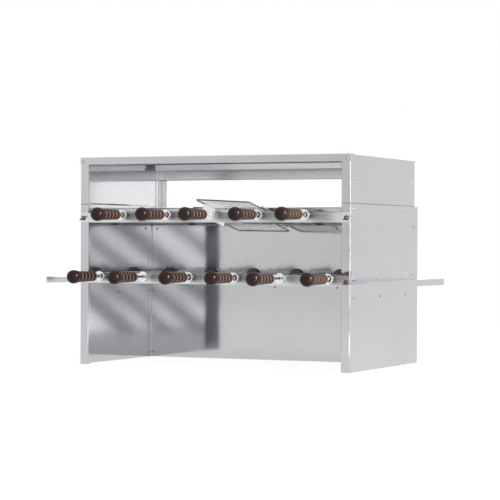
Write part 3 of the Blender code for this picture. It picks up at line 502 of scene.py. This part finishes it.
def handle_profile():
    """Outside of the turned handle from its front to its rear: (distance from the front, radius)."""
    profile = []
    along_power, around_power = DOME_POWERS
    for step in range(1, CURVE_STEPS + 1):
        angle = math.pi / 2 * step / CURVE_STEPS
        y = HEAD_DOME * (1 - math.cos(angle) ** along_power)
        profile.append((y, HEAD_RADIUS * math.sin(angle) ** around_power))
    groove = GRIP_RADIUS - RIDGE_DEPTH
    for step in range(1, CURVE_STEPS):
        angle = math.pi / 2 * step / CURVE_STEPS
        y = HEAD_DOME + (HEAD_END - HEAD_DOME) * math.sin(angle)
        profile.append((y, groove + (HEAD_RADIUS - groove) * math.cos(angle) ** SHOULDER_POWER))
    for ridge in range(RIDGE_COUNT):
        for step in range(CURVE_STEPS):
            along = (ridge + step / CURVE_STEPS) / RIDGE_COUNT
            crest = GRIP_RADIUS + (TAIL_RADIUS - GRIP_RADIUS) * along
            swell = math.sin(math.pi * step / CURVE_STEPS) ** RIDGE_POWER
            profile.append((HEAD_END + along * RIDGE_COUNT * RIDGE_PITCH, crest - RIDGE_DEPTH * (1 - swell)))
    tail = TAIL_RADIUS - RIDGE_DEPTH
    profile += [(RIDGES_END, tail), (HANDLE_LENGTH, tail - TAIL_TAPER), (HANDLE_LENGTH, TANG_RADIUS)]
    return profile


def tip_rings(start):
    """Square drive tip with a chamfered end."""
    rings = [squared_ring(TIP_HALF, TIP_HALF, y, SQUARE) for y in (start, TIP_END_Y - TIP_CHAMFER)]
    end_half = TIP_HALF * TIP_END_SHARE
    rings.append(squared_ring(end_half, end_half, TIP_END_Y, SOFT_SQUARE))
    return rings


def add_spool(bm):
    """The two discs that hold a skewer in its notch."""
    for front, radius in DISCS:
        turn_profile(disc_profile(front, radius, DISC_THICKNESS, DISC_HUB), bm)
    return bm


def skewer_bmesh(handle_end):
    """Neck, the two discs of the spool, an upright blade and the square drive tip."""
    neck_end, blade_start, blade_end, tip_start = BLADE_Y
    half_x, half_z = BLADE
    rings = [round_ring(NECK_RADIUS, handle_end - NECK_IN_HANDLE), round_ring(NECK_RADIUS, neck_end)]
    for share in (0.25, 0.5, 0.75, 1.0):
        ease = share * share * (3 - 2 * share)
        size_x = NECK_RADIUS + (half_x - NECK_RADIUS) * ease
        size_z = NECK_RADIUS + (half_z - NECK_RADIUS) * ease
        y = neck_end + (blade_start - neck_end) * share
        rings.append(squared_ring(size_x, size_z, y, OVAL + (SQUARE - OVAL) * ease))
    rings.append(squared_ring(half_x, half_z, blade_end, SQUARE))
    return add_spool(skin(rings + tip_rings(tip_start)))


def sprocket_ring(y):
    """Outline of a chain sprocket: round gullets between pointed teeth."""
    tip, root = SPROCKET[:2]
    ring = round_ring(1.0, y, TEETH * POINTS_PER_TOOTH)
    for index, point in enumerate(ring):
        lift = abs(math.sin(math.pi * index / POINTS_PER_TOOTH)) ** TOOTH_POWER
        radius = root + (tip - root) * lift
        ring[index] = Vector((point.x * radius, y, point.z * radius))
    return ring


def socket_bmesh():
    """Disc with a raised ring and a square bore, its journal, and the sprocket behind the wall."""
    radius, front, back = SOCKET_DISC
    half = SOCKET_BORE / 2
    count = TEETH * POINTS_PER_TOOTH
    dish, chamfer = 0.0012, 0.0010
    relief = [(0.0003, 0.0062), (0.0003, 0.0085), (0.0, 0.0090), (0.0, 0.0112), (dish, 0.0120),
              (0.0014, radius - 0.0035), (0.0004, radius - 0.0022), (0.0004, radius - 0.0008),
              (dish, radius)]
    sections = [(front + depth, size) for depth, size in relief]
    sections += [(back - chamfer, radius), (back, radius - chamfer), (back, JOURNAL_RADIUS),
                 (SPROCKET[2], JOURNAL_RADIUS)]
    rings = [squared_ring(half, half, y, SQUARE, count) for y in (SOCKET_BORE_END, front + dish)]
    rings += [round_ring(size, y, count) for y, size in sections]
    rings += [sprocket_ring(y) for y in SPROCKET[2:]]
    return skin(rings)


def tell_discs_apart(obj, materials):
    """Bright polish on the discs of the spool, and the dark steel on the neck before them as painted shade.
    """
    bright, dark = 1, 2
    obj.data.materials.append(materials["bright"])
    obj.data.materials.append(materials["dark"])
    spool_start = DISCS[0][0] - 0.001
    spool_end = DISCS[1][0] + DISC_THICKNESS + 0.0001
    for face in obj.data.polygons:
        x, y, z = face.center
        if y < spool_start:
            # painted shade: the neck before the spool is drawn in the dark steel
            face.material_index = dark
        elif y < spool_end and math.hypot(x, z) > NECK_RADIUS * 1.2:
            face.material_index = bright


def make_turning_sets(materials):
    """Handles, skewers and sockets; the handles share one mesh, and so do the sockets."""
    handle_mesh = socket_mesh = None
    for name, x, z in skewer_places():
        body = "basket" if name == "basket" else f"skewer_{name}"
        tilt = BASKET_TILT if name == "basket" else 0.0
        low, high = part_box(f"handle_{name}")
        bm = turn_profile(handle_profile()) if handle_mesh is None else None
        handle = add_piece(f"wooden_handle_{name}", bm, materials["wood"], body,
                           (x, low.y, z), tilt, handle_mesh)
        handle_mesh = handle.data
        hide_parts(f"handle_{name}")
        bm = socket_bmesh() if socket_mesh is None else None
        socket = add_piece(f"drive_socket_{name}", bm, materials["dark"], body,
                           (x, FRONT_Y, z), tilt, socket_mesh)
        socket_mesh = socket.data
        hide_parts(f"socket_{name}")
        if name == "basket":
            make_basket(x, z, high.y - FRONT_Y, materials)
        else:
            blade = add_piece(f"steel_skewer_{name}", skewer_bmesh(high.y - FRONT_Y), materials["blade"],
                              body, (x, FRONT_Y, z))
            tell_discs_apart(blade, materials)
            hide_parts(f"skewer_{name}")


# ---------------------------------------------------------------- basket

def bracket(bm, face_y):
    """Upright plate with a tab folded back at each end; the folds are rounded."""
    half_width, half_height = BRACKET
    inner = half_width - BRACKET_BEND
    path = [Vector((-half_width, face_y + BRACKET_TAB)), Vector((-half_width, face_y + BRACKET_BEND))]
    for step in range(1, BEND_STEPS):
        angle = math.pi / 2 * step / BEND_STEPS
        path.append(Vector((-inner - BRACKET_BEND * math.cos(angle),
                            face_y + BRACKET_BEND - BRACKET_BEND * math.sin(angle))))
    path.append(Vector((-inner, face_y)))
    path += [Vector((-p.x, p.y)) for p in reversed(path)]
    rings = []
    for i, p in enumerate(path):
        before, after = path[max(i - 1, 0)], path[min(i + 1, len(path) - 1)]
        q = p - (after - before).normalized().orthogonal() * BRACKET_SHEET
        rings.append([(p.x, p.y, -half_height), (p.x, p.y, half_height),
                      (q.x, q.y, half_height), (q.x, q.y, -half_height)])
    skin(rings, bm)


def rivet(bm, x, y, z):
    """Domed rivet head that faces -Y."""
    centre = Vector((x, y, z))
    rings = [round_ring(radius, along, 16) for along, radius in RIVET_PROFILE]
    skin([[point + centre for point in ring] for ring in rings], bm)


def make_basket(x, z, handle_end, materials):
    """Frame with its shaft and brackets, and the two wire grids."""
    rings = [round_ring(NECK_RADIUS, y) for y in (handle_end - NECK_IN_HANDLE, BASKET_Y[1])]
    bm = add_spool(skin(rings + tip_rings(BASKET_TIP_START)))
    bracket(bm, BRACKET_FRONT_Y)
    bracket(bm, BRACKET_REAR_Y)
    rivet_x, rivet_z = BRACKET[0] - RIVET_INSET[0], BRACKET[1] - RIVET_INSET[1]
    for side in (-1, 1):
        for height in (-1, 1):
            rivet(bm, side * rivet_x, BRACKET_FRONT_Y, height * rivet_z)
    place = (x, FRONT_Y, z)
    body = add_piece("basket_shaft", bm, materials["bright"], "basket", place, BASKET_TILT)
    tell_discs_apart(body, materials)
    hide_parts("basket_frame")
    for name, side, carrier in (("lower", -1, "basket"), ("upper", 1, "basket_lid")):
        grid = make_wire_grid(f"basket_wires_{name}", side * GRID_OFFSET, side, place, carrier, materials)
        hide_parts(f"basket_{name}_grid")


def add_wire(curve, points, closed=False):
    spline = curve.splines.new('POLY')
    spline.points.add(len(points) - 1)
    for target, point in zip(spline.points, points):
        target.co = (*point, 1.0)
    spline.use_cyclic_u = closed


def wire_curve(name, radius, material):
    curve = bpy.data.curves.new(name, 'CURVE')
    curve.dimensions = '3D'
    curve.bevel_depth = radius
    curve.bevel_resolution = 2
    curve.use_fill_caps = True
    curve.materials.append(material)
    return curve


def border_path(height):
    """Rectangle with rounded corners around one grid."""
    half = BASKET_HALF_WIDTH - BORDER_WIRE
    start, end = BASKET_Y[0] + BORDER_WIRE, BASKET_Y[1] - BORDER_WIRE
    points = []
    for quarter, (x, y) in enumerate(((half, end), (-half, end), (-half, start), (half, start))):
        centre_x = x - math.copysign(BORDER_CORNER, x)
        centre_y = y - BORDER_CORNER if y == end else y + BORDER_CORNER
        for step in range(BORDER_STEPS + 1):
            angle = math.pi / 2 * (quarter + step / BORDER_STEPS)
            points.append((centre_x + BORDER_CORNER * math.cos(angle),
                           centre_y + BORDER_CORNER * math.sin(angle), height))
    return points


def hook_path(edge, y, height, side):
    """From inside the border, over it and down its outer face, at one end of a cross wire."""
    turn = 1 if edge > 0 else -1
    return [(edge - turn * HOOK_START, y, height + side * MESH_WIRE),
            (edge - turn * HOOK_TIP, y, height + side * (BORDER_WIRE + HOOK_WIRE / 2)),
            (edge + turn * HOOK_TIP / 2, y, height + side * BORDER_WIRE),
            (edge + turn * HOOK_TIP, y, height)]


def make_wire_grid(name, height, side, place, body, materials):
    """Thin wires across each other, with their ends hooked over a thicker border."""
    mesh = bmesh.new()
    thin = wire_curve(f"{name}_thin", MESH_WIRE, materials["wire"])
    hooks = wire_curve(f"{name}_hooks", HOOK_WIRE, materials["wire"])
    half = BASKET_HALF_WIDTH - BORDER_WIRE
    start, end = BASKET_Y[0] + BORDER_WIRE, BASKET_Y[1] - BORDER_WIRE
    cross_count = round((end - start) / CROSS_PITCH)
    for i in range(1, cross_count):
        y = start + (end - start) * i / cross_count
        add_wire(thin, [(-half, y, height + side * MESH_WIRE), (half, y, height + side * MESH_WIRE)])
        add_wire(hooks, hook_path(-half, y, height, side))
        add_wire(hooks, hook_path(half, y, height, side))
    long_count = round(2 * half / LONG_PITCH)
    for i in range(1, long_count):
        x = -half + 2 * half * i / long_count
        add_wire(thin, [(x, start, height - side * MESH_WIRE), (x, end, height - side * MESH_WIRE)])
    thick = wire_curve(f"{name}_border", BORDER_WIRE, materials["wire"])
    add_wire(thick, border_path(height), closed=True)
    bright, dark = 0, 1
    for index, curve in ((bright, thin), (dark, hooks), (dark, thick)):
        holder = bpy.data.objects.new("wires", curve)
        bpy.context.collection.objects.link(holder)
        converted = evaluated_mesh(holder)
        for face in converted.polygons:
            face.material_index = index
        mesh.from_mesh(converted)
        bpy.data.meshes.remove(converted)
        bpy.data.objects.remove(holder)
        bpy.data.curves.remove(curve)
    grid = add_piece(name, mesh, materials["wire"], body, place, BASKET_TILT)
    grid.data.materials.append(materials["border"])
    return grid


# ---------------------------------------------------------------- wing bolts

def wing_outline(side):
    """One wing seen from above: a rounded lobe that leans outwards and forwards."""
    lobe, radius = Vector((0.0068, -0.0100)), 0.0030
    steps, first_angle, last_angle = 8, 20, -180
    points = [Vector((0.0030, 0.0)), Vector((0.0046, -0.0036))]
    for step in range(steps + 1):
        angle = math.radians(first_angle + (last_angle - first_angle) * step / steps)
        points.append(lobe + Vector((math.cos(angle), math.sin(angle))) * radius)
    points += [Vector((0.0022, -0.0030)), Vector((0.0, -0.0028))]
    return [Vector((side * p.x, p.y)) for p in points]


def wing_bolt_bmesh():
    """Shank, washer, conical hub and two wings."""
    bm = turn_profile([(0.009, 0.0024), (0.0, 0.0024), (0.0, 0.0068), (-0.0004, 0.0072), (-0.0012, 0.0072),
                       (-0.0016, 0.0066), (-0.0016, 0.0047), (-0.0026, 0.0045), (-0.0070, 0.0036),
                       (-0.0078, 0.0028)], None, 24)
    for side in (-1, 1):
        outline = wing_outline(side)
        skin([[(p.x, p.y, z) for p in outline] for z in (-WING_HALF_SHEET, WING_HALF_SHEET)], bm)
    return bm


def make_wing_bolts(materials):
    """Four wing bolts at the ends of the rails, with one mesh."""
    mesh = None
    for row in ("lower", "upper"):
        for side in ("left", "right"):
            node = f"wing_bolt_{row}_{side}"
            low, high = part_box(node)
            place = ((low.x + high.x) / 2, FRONT_Y - WING_SEAT, (low.z + high.z) / 2)
            bm = wing_bolt_bmesh() if mesh is None else None
            bolt = add_piece(f"wing_screw_{row}_{side}", bm, materials["bolt"], "cabinet",
                             place, WING_TURN, mesh)
            mesh = bolt.data
            soften(bolt, WING_EDGE)
            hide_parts(node)


# ---------------------------------------------------------------- screws

def screw_mesh():
    """Domed screw head that faces -Y, with a cross recess; y = 0 is the sheet that it sits on."""
    profile = [(SCREW_SINK, SCREW_RADIUS), (-SCREW_RIM, SCREW_RADIUS)]
    dome, steps = SCREW_HEIGHT - SCREW_RIM, 6
    for step in range(1, steps):
        angle = math.pi / 2 * step / steps
        profile.append((-SCREW_RIM - dome * math.sin(angle), SCREW_RADIUS * math.cos(angle)))
    head_mesh = bpy.data.meshes.new("screw_head")
    turn_profile(profile, None, 20).to_mesh(head_mesh)
    cross = bmesh.new()
    long, narrow = SCREW_CROSS
    add_box(cross, (-long, SCREW_CROSS_Y[0], -narrow), (long, SCREW_CROSS_Y[1], narrow))
    cross_mesh = bpy.data.meshes.new("screw_cross")
    cross.to_mesh(cross_mesh)
    head = bpy.data.objects.new("screw_head", head_mesh)
    cutter = bpy.data.objects.new("screw_cross", cross_mesh)
    for obj in (head, cutter):
        bpy.context.collection.objects.link(obj)
    for angle in (0.0, math.pi / 2):
        cutter.rotation_euler = (0.0, angle, 0.0)
        modifier = head.modifiers.new("recess", 'BOOLEAN')
        modifier.operation = 'DIFFERENCE'
        modifier.object = cutter
        bpy.context.view_layer.update()
        cut_mesh = evaluated_mesh(head)
        head.modifiers.clear()
        head.data = cut_mesh
    bpy.data.objects.remove(head)
    bpy.data.objects.remove(cutter)
    return cut_mesh


def add_screws(name, head, places, facing, materials):
    """One piece with a screw head at each place; facing is the direction the heads look in."""
    turn = Vector((0.0, -1.0, 0.0)).rotation_difference(Vector(facing)).to_matrix().to_4x4()
    bm = bmesh.new()
    for index, place in enumerate(places):
        count = len(bm.verts)
        bm.from_mesh(head)
        bm.verts.ensure_lookup_table()
        spin = Matrix.Rotation(index * SCREW_SPIN, 4, 'Y')
        matrix = Matrix.Translation(place) @ turn @ spin
        bmesh.ops.transform(bm, matrix=matrix, verts=bm.verts[count:])
    return add_piece(name, bm, materials["zinc"], "cabinet")


def make_side_screws(head, side, word, materials):
    """Heads on one side panel and its shelf's flange, and the ends of screws inside the panel."""
    front, middle, rear = COLUMNS
    seam_z, header_z, lap_z, rear_z = SEAM_Z - 0.014, 0.540, 0.410, 0.209
    cover_y, lap_y, window_y = 0.502, 0.514, 0.497
    wall = [(front, MIDDLE_SCREW_Z), (front, seam_z), (front, header_z), (middle, MIDDLE_SCREW_Z),
            (rear, FOOT_SCREW_Z), (rear, rear_z), (rear, seam_z), (cover_y, 0.266), (cover_y, lap_z),
            (lap_y, lap_z), (window_y, header_z)]
    shelf_x = side * (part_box("right_side_shelf")[0].x + 0.002)
    outside = [(side * OUTER_X, FRONT_Y + y, z) for y, z in wall]
    outside += [(shelf_x, FRONT_Y + y, SHELF_SCREW_Z) for y in COLUMNS]
    add_screws(f"screws_{word}_side", head, outside, (side, 0, 0), materials)
    panel_x, flange_x = side * (OUTER_X - 0.0018), side * (OUTER_X - 0.0033)
    inside = [(panel_x, FRONT_Y + middle, MIDDLE_SCREW_Z), (panel_x, FRONT_Y + 0.405, SEAM_Z - 0.030)]
    inside += [(flange_x, FRONT_Y + 0.440, z) for z in (FOOT_SCREW_Z, rear_z, seam_z)]
    add_screws(f"screws_{word}_inside", head, inside, (-side, 0, 0), materials)


def make_screws(materials):
    """Heads on the side panels, the shelves' flanges, the header, the rear wall and the drive box."""
    head = screw_mesh()
    for side, word in ((-1, "left"), (1, "right")):
        make_side_screws(head, side, word, materials)
    forwards, backwards = (0, -1, 0), (0, 1, 0)
    header_x, header_z = HEADER_SCREW
    header_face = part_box("front_header")[0].y
    places = [(x, header_face, header_z) for x in (-header_x, header_x)]
    add_screws("screws_header", head, places, forwards, materials)
    lap_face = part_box("upper_rear_wall")[0].y
    lap_z, middle_z = 0.4045, 0.225
    places = [(x, lap_face, lap_z) for x in (-0.408, 0.206, 0.408)]
    places += [(x, REAR_WALL_Y, middle_z) for x in (0.0, 0.207)]
    add_screws("screws_rear_wall", head, places, forwards, materials)
    back_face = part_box("drive_box_cover")[1].y
    places = [(x, back_face, z) for x in (-0.395, -0.13, 0.13, 0.395) for z in (0.030, 0.440)]
    add_screws("screws_drive_box", head, places, backwards, materials)


# ---------------------------------------------------------------- seam between the modules

def make_seam_shade_strips(materials):
    """Dark strip of painted shade in the gap between the modules on either side, set back from the steel's
    faces.
    """
    low, high = SEAM_Z + SHADE_STRIP_PLAY, SEAM_Z + SEAM_OPENING
    flange_end = OUTER_X - FRONT_FLANGE
    rear_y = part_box("left_upper_panel")[1].y - SHADE_STRIP_SETBACK
    near, far = SHADE_STRIP_SETBACK, SHADE_STRIP_SETBACK + SHADE_STRIP_THICKNESS
    outline = [(flange_end, FRONT_Y + near), (OUTER_X - near, FRONT_Y + near), (OUTER_X - near, rear_y),
               (OUTER_X - far, rear_y), (OUTER_X - far, FRONT_Y + far), (flange_end, FRONT_Y + far)]
    for side, word in ((-1, "left"), (1, "right")):
        bm = skin([[(side * x, y, z) for x, y in outline] for z in (low, high)])
        add_piece(f"seam_seal_{word}", bm, materials["seam_shade"], "cabinet")


# ---------------------------------------------------------------- CAD nodes that stay

def dress_cad_nodes(materials):
    """Gives every CAD node its material; what isn't named here is upright sheet."""
    kinds = {
        # painted light: the air baffle gets the lighter sheet
        "matt": ("air_baffle",),
        "satin": ("rear_window_frame",),
        "roof": ("roof_panel",),
        "rail": ("lower_front_rail", "upper_front_rail"),
        "cast": ("gear_motor", "bearing_plate"),
        "dark": ("drive_chain", "motor_sprocket"),
        "plastic": ("power_inlet", "power_switch"),
    }
    chosen = {node: kind for kind, nodes in kinds.items() for node in nodes}
    for node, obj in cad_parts.items():
        material = materials[chosen.get(node, "upright")]
        for slot in obj.material_slots:
            slot.material = material
        if not obj.material_slots:
            obj.data.materials.append(material)


# ---------------------------------------------------------------- stage, light and camera

def camera_axes():
    """Directions to the right, up and forward in the camera's view."""
    forward = Vector((-math.sin(CAMERA_YAW) * math.cos(CAMERA_PITCH),
                      math.cos(CAMERA_YAW) * math.cos(CAMERA_PITCH), math.sin(CAMERA_PITCH)))
    level = Vector((math.cos(CAMERA_YAW), math.sin(CAMERA_YAW), 0.0))
    right = math.cos(CAMERA_ROLL) * level + math.sin(CAMERA_ROLL) * level.cross(forward)
    return right, right.cross(forward), forward


def make_camera():
    right, up, forward = camera_axes()
    data = bpy.data.cameras.new("camera")
    data.lens = CAMERA_LENS
    data.sensor_width = CAMERA_SENSOR
    camera = bpy.data.objects.new("camera", data)
    matrix = Matrix((right, up, -forward)).transposed().to_4x4()
    camera.matrix_world = Matrix.Translation(CAMERA_PLACE) @ matrix
    bpy.context.collection.objects.link(camera)
    bpy.context.scene.camera = camera


def make_floor():
    """Wide pale floor that almost glows white."""
    mesh = bpy.data.meshes.new("floor")
    bm = bmesh.new()
    bmesh.ops.create_grid(bm, x_segments=1, y_segments=1, size=FLOOR_HALF)
    bm.to_mesh(mesh)
    bm.free()
    material, tree, shader = plain_material("pale_floor", grey(0.06), 0.6, 0.0)
    shader.inputs["Specular IOR Level"].default_value = 0.0
    tone = ramp(tree, noise(tree, 3.0, 2.0), ((0.3, grey(0.055)), (0.7, grey(0.065))))
    join_nodes(tree, tone, shader.inputs["Base Color"])
    shader.inputs["Emission Color"].default_value = (1.0, 1.0, 1.0, 1.0)
    shader.inputs["Emission Strength"].default_value = FLOOR_GLOW
    mesh.materials.append(material)
    floor = bpy.data.objects.new("floor", mesh)
    floor.location = (0.0, 0.0, FLOOR_Z)
    bpy.context.collection.objects.link(floor)


def make_world():
    world = bpy.data.worlds.new("studio")
    world.use_nodes = True
    background = world.node_tree.nodes["Background"]
    background.inputs["Color"].default_value = (1.0, 1.0, 1.0, 1.0)
    background.inputs["Strength"].default_value = 1.0
    bpy.context.scene.world = world
    bpy.context.scene.view_settings.view_transform = 'Standard'


def add_softbox(name, place, target, size, radiance):
    """Rectangular area light with an even glow; the camera doesn't see it, but the steel does."""
    data = bpy.data.lights.new(name, 'AREA')
    data.shape = 'RECTANGLE'
    data.size, data.size_y = size
    data.energy = radiance * math.pi * size[0] * size[1]
    light = bpy.data.objects.new(name, data)
    light.location = place
    direction = Vector(target) - Vector(place)
    light.rotation_euler = direction.to_track_quat('-Z', 'Y').to_euler()
    light.visible_camera = False
    bpy.context.collection.objects.link(light)


def add_flag(name, material, height, width):
    """Dark slanted bar of the studio's rig in front of the oven: it shows only in the steel."""
    bm = bmesh.new()
    bmesh.ops.create_grid(bm, x_segments=1, y_segments=1, size=0.5)
    bmesh.ops.transform(bm, matrix=Matrix.Diagonal((FLAG_LENGTH, width, 1.0, 1.0)), verts=bm.verts)
    mesh = bpy.data.meshes.new(name)
    bm.to_mesh(mesh)
    bm.free()
    mesh.materials.append(material)
    flag = bpy.data.objects.new(name, mesh)
    right, up, forward = camera_axes()
    centre = Vector(CAMERA_PLACE) + forward * FLAG_DISTANCE + right * FLAG_OFFSET + up * height
    along = right * math.cos(FLAG_SLOPE) + up * math.sin(FLAG_SLOPE)
    across = forward.cross(along)
    flag.matrix_world = Matrix.Translation(centre) @ Matrix((along, across, -forward)).transposed().to_4x4()
    flag.visible_camera = False
    flag.visible_shadow = False
    bpy.context.collection.objects.link(flag)


def make_flags():
    material, tree, shader = plain_material("flag_cloth", grey(0.37), 0.9, 0.0)
    tone = ramp(tree, noise(tree, 2.2, 1.0), ((0.35, grey(0.26)), (0.65, grey(0.48))))
    join_nodes(tree, tone, shader.inputs["Base Color"])
    for index, (height, width) in enumerate(FLAGS):
        add_flag(f"flag_{index + 1}", material, height, width)


def make_grey_card():
    """Pale grey board before the left half, which tones down what the front faces mirror."""
    material, tree, shader = plain_material("grey_card", grey(0.6), 0.9, 0.0)
    place = add_node(tree, "ShaderNodeTexCoord")
    split = add_node(tree, "ShaderNodeSeparateXYZ")
    join_nodes(tree, place.outputs["Generated"], split.inputs["Vector"])
    across = ramp(tree, split.outputs["X"], ((0.0, grey(0.82)), (1.0, grey(0.56))))
    blend = add_node(tree, "ShaderNodeMix", data_type='RGBA')
    join_nodes(tree, to_range(tree, split.outputs["Z"], 0.0, 1.0, 0.0, 0.25), blend.inputs[0])
    blend.inputs[6].default_value = (*grey(0.72), 1.0)
    join_nodes(tree, across, blend.inputs[7])
    join_nodes(tree, blend.outputs[2], shader.inputs["Base Color"])
    mesh = bpy.data.meshes.new("grey_card")
    (left, right), (low, high) = GREY_CARD_X, GREY_CARD_Z
    corners = [(x, GREY_CARD_Y, z) for x, z in ((left, low), (right, low), (right, high), (left, high))]
    mesh.from_pydata(corners, [], [(0, 1, 2, 3)])
    mesh.materials.append(material)
    card = bpy.data.objects.new("grey_card", mesh)
    card.visible_camera = False
    card.visible_shadow = False
    bpy.context.collection.objects.link(card)


# ---------------------------------------------------------------- assembly

make_camera()
make_world()
for name, (place, target, size, radiance) in SOFTBOXES.items():
    add_softbox(name, place, target, size, radiance)
make_flags()
make_grey_card()
make_floor()
materials = make_materials()
dress_cad_nodes(materials)
make_turning_sets(materials)
make_wing_bolts(materials)
make_screws(materials)
make_seam_shade_strips(materials)
